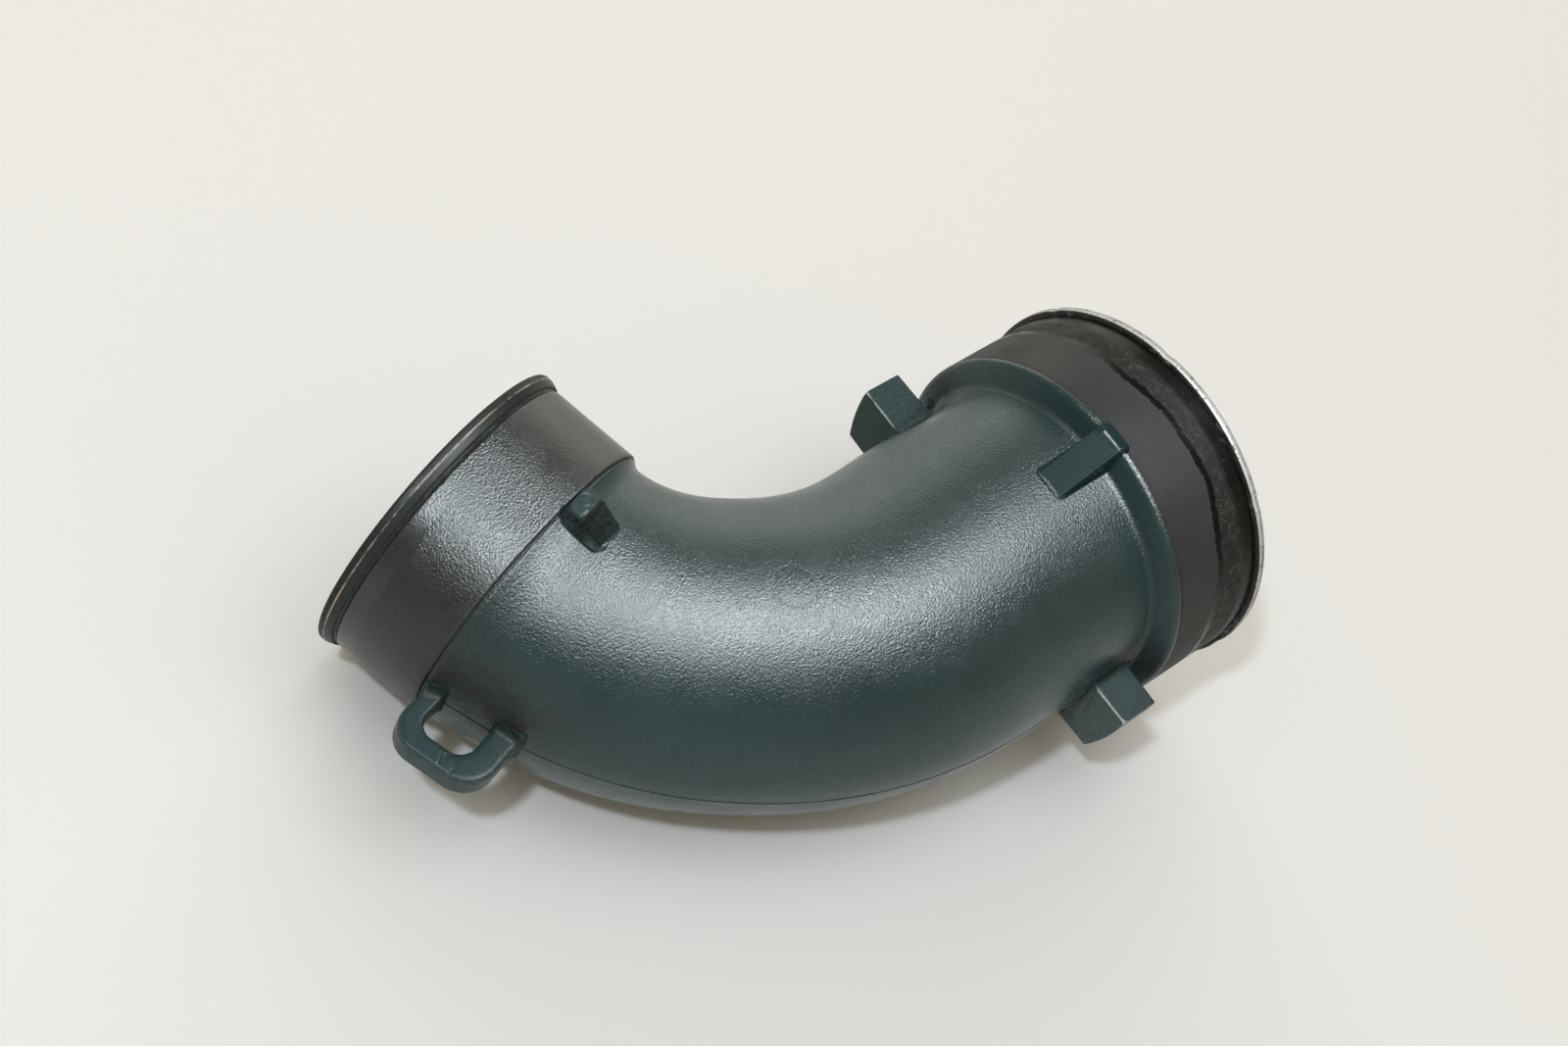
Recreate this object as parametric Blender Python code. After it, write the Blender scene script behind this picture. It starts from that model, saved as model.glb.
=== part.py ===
"""Cast duct elbow with two beaded hose ends, a loop lug, an ejector wedge and three blocks at the step.

Metres, +Z up. X runs along the large end's axis, the bend lies in a level plane, and the origin
is under the middle of the bounding box, at the height of the lowest point.
"""
import bmesh
import bpy
import numpy as np
from mathutils import Matrix, Vector

MM = 0.001
GAP = 0.3 * MM              # clear space left between neighbouring pieces
STEPS = 64                  # facets round a turned ring
SHARP = 0.6                 # edges that turn more than this angle, in radians, stay sharp

# Small end: spigot and rounded bead.
SMALL_R = 38.0 * MM         # for a 76 mm hose
SMALL_WALL = 5.5 * MM
SMALL_L = 25.0 * MM
SMALL_BEAD_H = 1.2 * MM
SMALL_BEAD_W = 3.0 * MM
SMALL_BORE_R = SMALL_R - SMALL_WALL
SMALL_BEAD_R = SMALL_R + SMALL_BEAD_H

# Bend: centreline from the small shoulder to the large step, in four legs of one length.
LEG = 35.5 * MM
TURNS = (36.0, 18.5, 26.0, -5.0)    # degrees turned on each leg
BEND_GROWTH = (-1.8 * MM, -1.7 * MM, 0.2 * MM, 1.7 * MM)
BEND_R = tuple(SMALL_R + more for more in BEND_GROWTH)      # outside radius at thirds of the length
WALL = 3.7 * MM
FLARE = 1.7 * MM            # how far the bend opens out to meet the small shoulder
FLARE_L = 7.0 * MM
BEND_RINGS = 30

# Large end: annular step, spigot and flat-topped bead.
LARGE_R = 46.0 * MM         # for a 92 mm hose
LARGE_WALL = 4.5 * MM
STEP_BACK = 2.0 * MM        # how far the step's foot fillet reaches over the bend
STEP_W = 3.0 * MM           # from the step's foot to the end of its rounded corner
LARGE_L = 27.0 * MM
LARGE_BEAD_H = 1.4 * MM
LARGE_BEAD_W = 2.2 * MM
LARGE_BORE_R = LARGE_R - LARGE_WALL
LARGE_BEAD_R = LARGE_R + LARGE_BEAD_H

# Loop lug: an arch in the bend's plane, on the outer side just past the small shoulder.
LOOP_T = 7.2 * MM
LOOP_NEAR = 2.0 * MM        # near arm's outer side, measured from the shoulder into the bend
LOOP_FAR = 25.4 * MM
LOOP_HOLE = (6.0 * MM, 18.2 * MM)
LOOP_REACH = (14.2 * MM, 11.6 * MM)     # outer edge beyond the small spigot, at the two arms
LOOP_CLEAR = 7.9 * MM       # outer edge of the hole beyond the small spigot
LOOP_TOP = (SMALL_R + LOOP_REACH[0], SMALL_R + LOOP_REACH[1])
LOOP_EYE = SMALL_R + LOOP_CLEAR
LOOP_SINK = 9.0 * MM        # how far its arms run into the bend before the bend's outside trims them
LOOP_ROOT = BEND_R[0] - LOOP_SINK

# Wedge lug: an ejector pad on top of the bend, against the small shoulder.
WEDGE_W = 9.4 * MM
WEDGE_SIDE = -1.2 * MM      # its middle, measured towards the outer side
WEDGE_NEAR = 0.8 * MM
WEDGE_FLAT = 5.4 * MM
WEDGE_FAR = 11.6 * MM
WEDGE_RISE = 3.2 * MM       # level pad above the bend
WEDGE_TOE_RISE = 0.7 * MM
LUG_SINK = 6.0 * MM         # how far the lugs run into the duct before its outside trims them
WEDGE_TOP = BEND_R[0] + WEDGE_RISE
WEDGE_TOE = BEND_R[0] + WEDGE_TOE_RISE
WEDGE_ROOT = BEND_R[0] - LUG_SINK

# Blocks at the large step: two at the parting plane, one ramp on top.
BLOCK_FRONT = 12.4 * MM
BLOCK_BACK = 2.4 * MM
BLOCK_PROUD = 5.0 * MM      # tip beyond the large spigot's outside
BLOCK_DEEP = 17.0 * MM
BLOCK_TIP_R = LARGE_R + BLOCK_PROUD
BLOCK_ROOT = BEND_R[3] - 1.5 * LUG_SINK
RAMP_W = 8.0 * MM
RAMP_SIDE = 0.0 * MM
RAMP_FRONT = 15.5 * MM
RAMP_FOOT_RISE = 1.1 * MM   # front edge above the bend
RAMP_PROUD = 2.2 * MM       # top above the large spigot's outside
RAMP_NOSE = 4.2 * MM
RAMP_FOOT = BEND_R[3] + RAMP_FOOT_RISE
RAMP_TOP = LARGE_R + RAMP_PROUD
RAMP_ROOT = BEND_R[3] - LUG_SINK
EDGE = 0.6 * MM             # rounding on the lugs' cast edges

PAINT = (0.045, 0.085, 0.09, 1.0)
CHARCOAL = (0.045, 0.05, 0.055, 1.0)
BARE = (0.45, 0.45, 0.44, 1.0)

for old in list(bpy.data.objects):
    bpy.data.objects.remove(old, do_unlink=True)

FRAME = bpy.data.objects.new("elbow_frame", None)
bpy.context.scene.collection.objects.link(FRAME)


def finish(name, colour, metallic, roughness):
    """A Principled material of one piece's own."""
    material = bpy.data.materials.new(name)
    material.use_nodes = True
    shader = material.node_tree.nodes["Principled BSDF"]
    shader.inputs["Base Color"].default_value = colour
    shader.inputs["Metallic"].default_value = metallic
    shader.inputs["Roughness"].default_value = roughness
    return material


def add_object(name, bm, look):
    """Turns a bmesh into an object under the elbow's frame, with faces pointing out."""
    bmesh.ops.recalc_face_normals(bm, faces=bm.faces)
    mesh = bpy.data.meshes.new(name)
    bm.to_mesh(mesh)
    bm.free()
    mesh.shade_smooth()
    mesh.set_sharp_from_angle(angle=SHARP)
    item = bpy.data.objects.new(name, mesh)
    bpy.context.scene.collection.objects.link(item)
    item.parent = FRAME
    if look is None:
        item.hide_render = True
        item.display_type = "WIRE"
    else:
        mesh.materials.append(finish(name, *look))
    return item


def rounded(corners, steps=5):
    """A closed outline from (x, y, radius) corners, each corner with a radius made an arc."""
    outline = []
    for i, (x, y, radius) in enumerate(corners):
        here = np.array((x, y))
        if radius == 0:
            outline.append(here)
            continue
        before = np.array(corners[i - 1][:2]) - here
        after = np.array(corners[(i + 1) % len(corners)][:2]) - here
        before = before / np.linalg.norm(before)
        after = after / np.linalg.norm(after)
        half = np.arccos(np.clip(before @ after, -1, 1)) / 2
        middle = (before + after) / np.linalg.norm(before + after)
        centre = here + middle * radius / np.sin(half)
        first = here + before * radius / np.tan(half) - centre
        last = here + after * radius / np.tan(half) - centre
        start = np.arctan2(first[1], first[0])
        turn = np.arctan2(last[1], last[0]) - start
        turn = (turn + np.pi) % (2 * np.pi) - np.pi
        for angle in start + turn * np.linspace(0, 1, steps + 1):
            outline.append(centre + radius * np.array((np.cos(angle), np.sin(angle))))
    return outline


def prism(outline, low, high, place):
    """An outline extruded between two heights; place turns (x, y, height) into a point."""
    bm = bmesh.new()
    floor = bm.faces.new([bm.verts.new(place(x, y, low)) for x, y in outline])
    grown = bmesh.ops.extrude_face_region(bm, geom=[floor])
    rise = Vector(place(0.0, 0.0, high)) - Vector(place(0.0, 0.0, low))
    moved = [v for v in grown["geom"] if isinstance(v, bmesh.types.BMVert)]
    bmesh.ops.translate(bm, verts=moved, vec=rise)
    return bm


def turned(profile, matrix):
    """A ring or plug: (axial, radius) points spun round the end's axis."""
    bm = bmesh.new()
    points = [bm.verts.new((radius, 0.0, axial)) for axial, radius in profile]
    edges = [bm.edges.new((points[i - 1], points[i])) for i in range(len(points))]
    bmesh.ops.spin(bm, geom=points + edges, cent=(0, 0, 0), axis=(0, 0, 1),
                   angle=2 * np.pi, steps=STEPS, use_merge=True)
    bmesh.ops.remove_doubles(bm, verts=bm.verts, dist=1e-6)
    bmesh.ops.transform(bm, matrix=matrix, verts=bm.verts)
    return bm


def bevelled(item, width):
    rounding = item.modifiers.new("edges", "BEVEL")
    rounding.width = width
    rounding.segments = 2
    rounding.limit_method = "ANGLE"
    rounding.angle_limit = SHARP


def cut_by(item, cutter):
    boolean = item.modifiers.new("seat on " + cutter.name, "BOOLEAN")
    boolean.operation = "DIFFERENCE"
    boolean.solver = "EXACT"
    boolean.object = cutter


# Centreline: the curvature blends between the middles of the legs, then the headings are scaled
# so that the whole turn is the sum of the legs' turns and ends along +X.
LENGTH = LEG * len(TURNS)
fine = np.linspace(0, LENGTH, 2001)
middles = LEG * (np.arange(len(TURNS)) + 0.5)
curving = np.interp(fine, middles, np.radians(TURNS) / LEG)
turned_by = np.concatenate([[0], np.cumsum((curving[1:] + curving[:-1]) / 2 * np.diff(fine))])
turned_by = turned_by * np.radians(sum(TURNS)) / turned_by[-1]
headings = turned_by - turned_by[-1]
steps_x = np.cos((headings[1:] + headings[:-1]) / 2) * np.diff(fine)
steps_y = np.sin((headings[1:] + headings[:-1]) / 2) * np.diff(fine)
path_x = np.concatenate([[0], np.cumsum(steps_x)])
path_y = np.concatenate([[0], np.cumsum(steps_y)])


def station(s):
    """Centre, direction of travel and outward direction at a distance along the centreline."""
    heading = np.interp(s, fine, headings)
    centre = np.array((np.interp(s, fine, path_x), np.interp(s, fine, path_y), 0.0))
    travel = np.array((np.cos(heading), np.sin(heading), 0.0))
    outward = np.array((np.sin(heading), -np.cos(heading), 0.0))
    return centre, travel, outward


def bend_radius(s):
    thirds = np.linspace(0, LENGTH, 4)
    cubic = np.polyfit(thirds, BEND_R, 3)
    flare = FLARE * np.clip(1 - s / FLARE_L, 0, 1) ** 2
    return np.polyval(cubic, s) + flare


def small_place(into, outward, up):
    """A point from the small shoulder: distance into the bend, towards the outer side, and up."""
    centre, travel, out = station(0.0)
    return tuple(centre + into * travel + outward * out + np.array((0.0, 0.0, up)))


def large_place(along, outward, up):
    """A point from the large step's foot: along the end's axis, to the outer side, and up."""
    centre, travel, out = station(LENGTH)
    return tuple(centre + along * travel + outward * out + np.array((0.0, 0.0, up)))


def end_matrix(s, sign):
    """Turns the spin axis onto an end's outward axis, at that end's plane."""
    centre, travel, out = station(s)
    axis = Vector(travel * sign)
    side = Vector((0.0, 0.0, 1.0)).cross(axis)
    columns = Matrix((side, Vector((0.0, 0.0, 1.0)).cross(side) * -1.0, axis))
    columns[1] = axis.cross(side)
    return Matrix.Translation(Vector(centre)) @ columns.transposed().to_4x4()


SMALL = end_matrix(0.0, -1.0)
LARGE = end_matrix(LENGTH, 1.0)
foot_r = bend_radius(LENGTH)
bore_at_step = foot_r - WALL


def bend_half(name, start, stop, look):
    """Half of the bend's shell, between two angles round the duct, swept along the centreline."""
    bm = bmesh.new()
    rings = []
    along = np.linspace(GAP, LENGTH - STEP_BACK - GAP, BEND_RINGS)
    along = np.sort(np.concatenate([along, [FLARE_L * 0.25, FLARE_L * 0.5]]))
    for s in along:
        centre, travel, out = station(s)
        outer = bend_radius(s)
        inner = np.interp(s, [0, LENGTH], [SMALL_BORE_R, bore_at_step])
        ring = []
        for radius, sweep in ((outer, np.linspace(0, 1, 19)), (inner, np.linspace(1, 0, 15))):
            lift = np.arcsin(GAP / 2 / radius)
            for share in sweep:
                angle = start + lift + (stop - start - 2 * lift) * share
                up = np.array((0.0, 0.0, 1.0)) * np.sin(angle)
                ring.append(bm.verts.new(centre + radius * (out * np.cos(angle) + up)))
        rings.append(ring)
    for first, second in zip(rings[:-1], rings[1:]):
        for i in range(len(first)):
            bm.faces.new((first[i - 1], first[i], second[i], second[i - 1]))
    bm.faces.new(rings[0])
    bm.faces.new(rings[-1])
    return add_object(name, bm, look)


GREEN = (PAINT, 0.0, 0.38)
BLACK = (CHARCOAL, 0.0, 0.5)
METAL = (BARE, 1.0, 0.42)

bend_half("bend_upper", 0.0, np.pi, GREEN)
bend_half("bend_lower", np.pi, 2 * np.pi, GREEN)

# Small end. The bead rises from a crease, rounds over its crest and drops to the end face.
add_object("small_spigot", turned([
    (0.0, SMALL_BORE_R), (0.0, SMALL_R - 0.5 * MM), (0.5 * MM, SMALL_R),
    (SMALL_L - GAP, SMALL_R), (SMALL_L - GAP, SMALL_BORE_R)], SMALL), BLACK)
crest = SMALL_BEAD_R - SMALL_R
add_object("small_bead", turned([
    (SMALL_L, SMALL_BORE_R), (SMALL_L, SMALL_R),
    (SMALL_L + 0.18 * SMALL_BEAD_W, SMALL_R + 0.62 * crest),
    (SMALL_L + 0.38 * SMALL_BEAD_W, SMALL_R + 0.95 * crest),
    (SMALL_L + 0.55 * SMALL_BEAD_W, SMALL_BEAD_R),
    (SMALL_L + 0.75 * SMALL_BEAD_W, SMALL_R + 0.72 * crest),
    (SMALL_L + 0.92 * SMALL_BEAD_W, SMALL_R),
    (SMALL_L + SMALL_BEAD_W, SMALL_R - 0.9 * MM),
    (SMALL_L + SMALL_BEAD_W, SMALL_BORE_R)], SMALL), BLACK)

# Large end. The step's foot is filleted into the bend and its outer corner is rounded.
rise = LARGE_R - foot_r
add_object("large_step", turned([
    (-STEP_BACK, bore_at_step), (-STEP_BACK, bend_radius(LENGTH - STEP_BACK)),
    (-0.45 * STEP_BACK, foot_r + 0.05 * rise), (0.05 * STEP_W, foot_r + 0.2 * rise),
    (0.36 * STEP_W, foot_r + 0.6 * rise), (0.58 * STEP_W, foot_r + 0.86 * rise),
    (0.78 * STEP_W, foot_r + 0.96 * rise), (STEP_W - GAP, LARGE_R),
    (STEP_W - GAP, LARGE_BORE_R)], LARGE), GREEN)
bead_at = STEP_W + LARGE_L
add_object("large_spigot", turned([
    (STEP_W, LARGE_BORE_R), (STEP_W, LARGE_R),
    (bead_at - GAP, LARGE_R), (bead_at - GAP, LARGE_BORE_R)], LARGE), BLACK)
bead_end = bead_at + LARGE_BEAD_W
add_object("large_bead", turned([
    (bead_at, LARGE_BORE_R), (bead_at, LARGE_BEAD_R - 0.3 * MM),
    (bead_at + 0.3 * MM, LARGE_BEAD_R), (bead_end - 0.4 * MM, LARGE_BEAD_R),
    (bead_end, LARGE_BEAD_R - 0.4 * MM), (bead_end, LARGE_BORE_R)], LARGE), METAL)

# Cutters: the duct's outside, grown by the gap, trims the roots of the lugs.
bm = bmesh.new()
rings = []
for s in np.linspace(0, LENGTH, 2 * BEND_RINGS):
    centre, travel, out = station(s)
    radius = bend_radius(s) + GAP
    ring = []
    for angle in np.linspace(0, 2 * np.pi, 73)[:-1]:
        up = np.array((0.0, 0.0, 1.0)) * np.sin(angle)
        ring.append(bm.verts.new(centre + radius * (out * np.cos(angle) + up)))
    rings.append(ring)
for first, second in zip(rings[:-1], rings[1:]):
    for i in range(len(first)):
        bm.faces.new((first[i - 1], first[i], second[i], second[i - 1]))
bm.faces.new(rings[0])
bm.faces.new(rings[-1])
bend_cutter = add_object("bend_cutter", bm, None)

step_cutter = add_object("step_cutter", turned([
    (-STEP_BACK - GAP, foot_r / 2), (-STEP_BACK - GAP, foot_r + GAP),
    (-0.45 * STEP_BACK - GAP, foot_r + 0.05 * rise + GAP), (0.05 * STEP_W - GAP, foot_r + 0.2 * rise + GAP),
    (0.36 * STEP_W - GAP, foot_r + 0.6 * rise + GAP), (0.58 * STEP_W - GAP, foot_r + 0.86 * rise + GAP),
    (0.78 * STEP_W - GAP, foot_r + 0.96 * rise + GAP), (STEP_W - GAP, LARGE_R + GAP),
    (bead_end, LARGE_R + GAP), (bead_end, foot_r / 2)], LARGE), None)

# Loop lug.
loop = rounded([
    (LOOP_NEAR, LOOP_ROOT, 0), (LOOP_NEAR, LOOP_TOP[0], 6 * MM),
    (LOOP_FAR, LOOP_TOP[1], 8 * MM), (LOOP_FAR - 1.0 * MM, LOOP_ROOT - 4 * MM, 0),
    (LOOP_HOLE[1] - 0.4 * MM, LOOP_ROOT - 2 * MM, 0), (LOOP_HOLE[1], LOOP_EYE - 0.8 * MM, 5 * MM),
    (LOOP_HOLE[0], LOOP_EYE + 0.6 * MM, 3.5 * MM), (LOOP_HOLE[0], LOOP_ROOT, 0)])
loop_lug = add_object("loop_lug", prism(loop, -LOOP_T / 2, LOOP_T / 2, small_place), GREEN)
bevelled(loop_lug, EDGE)
cut_by(loop_lug, bend_cutter)

# Wedge lug: level pad by the shoulder, then a slope down to a low toe.
wedge = [
    (WEDGE_NEAR, WEDGE_ROOT), (WEDGE_NEAR, WEDGE_TOP), (WEDGE_FLAT, WEDGE_TOP),
    (WEDGE_FAR, WEDGE_TOE), (WEDGE_FAR, WEDGE_ROOT)]


def wedge_place(into, up, side):
    return small_place(into, side, up)


wedge_lug = add_object("wedge_lug", prism(
    wedge, WEDGE_SIDE - WEDGE_W / 2, WEDGE_SIDE + WEDGE_W / 2, wedge_place), GREEN)
bevelled(wedge_lug, EDGE)
cut_by(wedge_lug, bend_cutter)


# Side blocks: flat on top at the parting plane, with a tip that follows the duct's own circle.
def block_outline(sign):
    arc = np.linspace(0, np.arcsin(BLOCK_DEEP / BLOCK_TIP_R), 7)
    tip = [(sign * BLOCK_TIP_R * np.cos(a), -max(BLOCK_TIP_R * np.sin(a), GAP / 2)) for a in arc]
    return [(sign * BLOCK_ROOT, -GAP / 2)] + tip + [(sign * BLOCK_ROOT, -BLOCK_DEEP)]


def block_place(outward, up, along):
    return large_place(along, outward, up)


for name, sign in (("outer_block", 1.0), ("inner_block", -1.0)):
    block = add_object(name, prism(block_outline(sign), -BLOCK_FRONT, -BLOCK_BACK, block_place), GREEN)
    bevelled(block, EDGE)
    cut_by(block, bend_cutter)

# Top block: a ramp from the bend up to the step's corner, with a short nose over the spigot.
ramp = [
    (-RAMP_FRONT, RAMP_ROOT), (-RAMP_FRONT, RAMP_FOOT), (0.2 * MM, RAMP_TOP),
    (RAMP_NOSE - 1.2 * MM, RAMP_TOP), (RAMP_NOSE, RAMP_TOP - 1.1 * MM), (RAMP_NOSE, RAMP_ROOT)]


def ramp_place(along, up, side):
    return large_place(along, side, up)


top_block = add_object("top_block", prism(
    ramp, RAMP_SIDE - RAMP_W / 2, RAMP_SIDE + RAMP_W / 2, ramp_place), GREEN)
bevelled(top_block, EDGE)
cut_by(top_block, bend_cutter)
cut_by(top_block, step_cutter)

# Put the origin under the middle of the bounding box.
bpy.context.view_layer.update()
graph = bpy.context.evaluated_depsgraph_get()
corners = []
for item in bpy.context.scene.objects:
    if item.type == "MESH" and not item.hide_render:
        seen = item.evaluated_get(graph)
        corners += [seen.matrix_world @ vertex.co for vertex in seen.data.vertices]
corners = np.array(corners)
low = corners.min(axis=0)
high = corners.max(axis=0)
FRAME.location = (-(low[0] + high[0]) / 2, -(low[1] + high[1]) / 2, -low[2])
bpy.context.view_layer.update()
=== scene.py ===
# %% [markdown]
# # A cast hose elbow
# The real part is one aluminium casting: a curved duct with a spigot for a rubber hose at each
# end, a hanging loop, and a few small pads where ejector pins pushed it out of its die. It is
# painted dark green, its two spigots are charcoal, and the rim of the large end is bare.
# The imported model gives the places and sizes. Its solids are faceted and stand a hair apart, so
# this lesson makes finer skins over them, which run into each other the way one casting does.

# %% Load the frame
import bpy
import numpy as np
from mathutils import Matrix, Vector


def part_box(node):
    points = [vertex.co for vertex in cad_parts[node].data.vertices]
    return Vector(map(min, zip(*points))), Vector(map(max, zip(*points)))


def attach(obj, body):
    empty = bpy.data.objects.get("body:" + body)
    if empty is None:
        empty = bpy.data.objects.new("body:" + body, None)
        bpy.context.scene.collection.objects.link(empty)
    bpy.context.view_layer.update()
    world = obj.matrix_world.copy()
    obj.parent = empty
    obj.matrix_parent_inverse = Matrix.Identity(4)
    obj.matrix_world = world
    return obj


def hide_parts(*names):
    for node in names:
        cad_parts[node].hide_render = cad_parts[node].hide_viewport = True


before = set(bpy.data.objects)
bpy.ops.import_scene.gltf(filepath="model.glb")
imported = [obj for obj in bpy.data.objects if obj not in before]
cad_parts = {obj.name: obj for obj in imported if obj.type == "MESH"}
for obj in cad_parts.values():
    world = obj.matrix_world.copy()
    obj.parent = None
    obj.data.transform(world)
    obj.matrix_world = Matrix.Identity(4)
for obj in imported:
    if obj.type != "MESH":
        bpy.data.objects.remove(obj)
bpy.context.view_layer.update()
MM = 0.001


def mm(*lengths):
    """Lengths given in millimetres, as an array in metres."""
    return np.array(lengths) * MM


# %% [markdown]
# ## The camera
# The view looks down on the elbow with the camera rolled to one side. A Track To constraint could
# aim it, but it would keep the camera level. So three angles say how far it is turned round the
# elbow, how high it is lifted and how far it is rolled. They come from fitting a pinhole camera
# to the outlines of both ends and of the bend, with the elbow lying level as the frame has it.

# %% Place the camera
TURN, LIFT, ROLL = np.radians((-157.205, 55.815, 33.223))
VIEW_POINT = mm(-327.66, -127.78, 591.67)


def into_scene(name, data):
    """A new object that shows the data, linked into the scene."""
    thing = bpy.data.objects.new(name, data)
    bpy.context.scene.collection.objects.link(thing)
    return thing


def facing(point, side, back):
    """A matrix at the point whose axes are side, back cross side, and back."""
    axes = np.stack([side, np.cross(back, side), back], -1)
    return Matrix.Translation(point) @ Matrix(axes.tolist()).to_4x4()


view_back = np.array((np.cos(LIFT) * np.cos(TURN), np.cos(LIFT) * np.sin(TURN), np.sin(LIFT)))
view_level = np.array((-np.sin(TURN), np.cos(TURN), 0.0))
view_right = np.cos(ROLL) * view_level + np.sin(ROLL) * np.cross(view_back, view_level)
camera_data = bpy.data.cameras.new("camera")
camera_data.sensor_width = 36.0
camera_data.sensor_fit = "HORIZONTAL"
camera_data.lens = 63.325
camera_data.clip_start = 0.02
camera = into_scene("camera", camera_data)
camera.matrix_world = facing(VIEW_POINT, view_right, view_back)
bpy.context.scene.camera = camera
print("camera", round(float(np.linalg.norm(VIEW_POINT)) / MM), "mm from the middle of the base")

# %% [markdown]
# ## The line that the duct follows
# The duct is a tube whose middle turns in one level plane. A Bezier curve with a bevel could
# carry it, but then a lug couldn't ask where the duct's surface is. So the line is worked out
# here: four legs of equal length turn by different angles, the curvature is blended between the
# middles of the legs, and the line runs on straight through both spigots. Everything round is
# then a radius at a distance along this line.

# %% Centre line
LEG = 35.5 * MM
TURNS = np.radians((36.0, 18.5, 26.0, -5.0))
LENGTH = LEG * len(TURNS)
RIM_FACE = 32.2 * MM
UP = np.array((0.0, 0.0, 1.0))
rim_low, rim_high = (np.array(corner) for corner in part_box("large_bead"))
FOOT = np.array((rim_high[0] - RIM_FACE, *((rim_low + rim_high) / 2)[1:]))

line_s = np.linspace(0, LENGTH, 2001)
bending = np.interp(line_s, LEG * (np.arange(len(TURNS)) + 0.5), TURNS / LEG)


def summed(rate):
    """Running total of a rate along the line, by the trapezium rule, from 0."""
    return np.concatenate([[0], np.cumsum((rate[1:] + rate[:-1]) / 2 * np.diff(line_s))])


heading = summed(bending)
heading = (heading / heading[-1] - 1) * TURNS.sum()
line_x, line_y = summed(np.cos(heading)), summed(np.sin(heading))
line_x += FOOT[0] - line_x[-1]
line_y += FOOT[1] - line_y[-1]
turned = float(np.degrees(TURNS.sum()))
print(f"centre line {LENGTH / MM:.1f} mm, turning {turned:.1f} degrees")


# %% Place on the line
def station(s):
    """Centre, travel and outward direction at distances s: the curve between 0 and LENGTH, and
    before and after it a straight run along the end's own direction."""
    s = np.asarray(s, float)
    on = np.clip(s, 0, LENGTH)
    turn = np.interp(on, line_s, heading)
    flat = np.zeros_like(turn)
    travel = np.stack([np.cos(turn), np.sin(turn), flat], -1)
    outward = np.stack([np.sin(turn), -np.cos(turn), flat], -1)
    centre = np.stack([np.interp(on, line_s, line_x), np.interp(on, line_s, line_y), flat + FOOT[2]], -1)
    return centre + (s - on)[..., None] * travel, travel, outward


SHOULDER, SMALL_TRAVEL, SMALL_OUT = (part[0] for part in station(np.zeros(1)))
LARGE_TRAVEL, LARGE_OUT = np.array((1.0, 0.0, 0.0)), np.array((0.0, -1.0, 0.0))
print("small shoulder at", np.round(SHOULDER / MM, 1).tolist(), "mm")

# %% [markdown]
# ## Turning arrays into meshes
# Each skin is a grid of points. BMesh could add its faces one by one, but whole arrays are
# shorter and quicker. Rows and columns that close on themselves become a ring, and a row that
# shrinks to one point becomes a pole with a fan of triangles. If the signed volume is negative,
# the faces are turned round, so that they always point outwards.

# %% Faces of a grid
def grid_faces(rows, columns, close_rows):
    """Four-cornered faces of a grid whose columns run round; each names the points at
    (row, column), (row, next), (next row, next) and (next row, column)."""
    starts = np.arange(rows if close_rows else rows - 1)
    row, column = np.meshgrid(starts, np.arange(columns), indexing="ij")
    below, beside = (row + 1) % rows, (column + 1) % columns
    corners = ((row, column), (row, beside), (below, beside), (below, column))
    return np.stack([r * columns + c for r, c in corners], -1).reshape(-1, 4)


def end_fans(rows, columns):
    """Triangles that close the first and the last row with the two points stored after the grid."""
    ring, following = np.arange(columns), np.roll(np.arange(columns), -1)
    pole, last_row = rows * columns, (rows - 1) * columns
    first = np.stack([following, ring, np.full(columns, pole)], -1)
    last = np.stack([last_row + ring, last_row + following, np.full(columns, pole + 1)], -1)
    return np.concatenate([first, last])


def signed_volume(points, triangles):
    """A sixth of the sum, over the triangles, of one corner dotted with the cross of the others."""
    a, b, c = (points[triangles[:, i]] for i in range(3))
    return np.einsum("ij,ij->", a, np.cross(b, c)) / 6


print("a tube of 3 rows and 4 columns has", len(grid_faces(3, 4, False)), "faces")


# %% Mesh from arrays
SHARP_ANGLE = 0.7


def make_skin(name, grid, faces, nodes, marks, fans=()):
    """A piece from a grid or list of points, its four-cornered faces and triangles; marks are
    values at the points that the finishes read."""
    points = grid.reshape(-1, 3)
    fans = np.asarray(fans, int).reshape(-1, 3)
    triangles = np.concatenate([faces[:, (0, 1, 2)], faces[:, (0, 2, 3)], fans])
    volume = signed_volume(points, triangles)
    if volume < 0:
        faces, fans = faces[:, ::-1], fans[:, ::-1]
    loops = np.concatenate([faces.ravel(), fans.ravel()]).astype(np.int32)
    sizes = np.repeat((4, 3), (len(faces), len(fans)))
    mesh = bpy.data.meshes.new(name)
    mesh.vertices.add(len(points))
    mesh.vertices.foreach_set("co", points.astype(np.float32).ravel())
    mesh.loops.add(len(loops))
    mesh.loops.foreach_set("vertex_index", loops)
    mesh.polygons.add(len(sizes))
    mesh.polygons.foreach_set("loop_start", (np.cumsum(sizes) - sizes).astype(np.int32))
    mesh.update(calc_edges=True)
    mesh.validate()
    for mark, values in marks.items():
        layer = mesh.attributes.new(mark, "FLOAT", "POINT")
        layer.data.foreach_set("value", np.broadcast_to(values, grid.shape[:-1]).astype(np.float32).ravel())
    mesh.shade_smooth()
    mesh.set_sharp_from_angle(angle=SHARP_ANGLE)
    piece = into_scene(name, mesh)
    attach(piece, "root")
    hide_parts(*nodes)
    print(f"{name}: {len(points)} points, {len(triangles)} triangles, {abs(volume) * 1e6:.1f} cm3")
    return piece


print("edges turn sharp past", round(float(np.degrees(SHARP_ANGLE))), "degrees")

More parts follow.
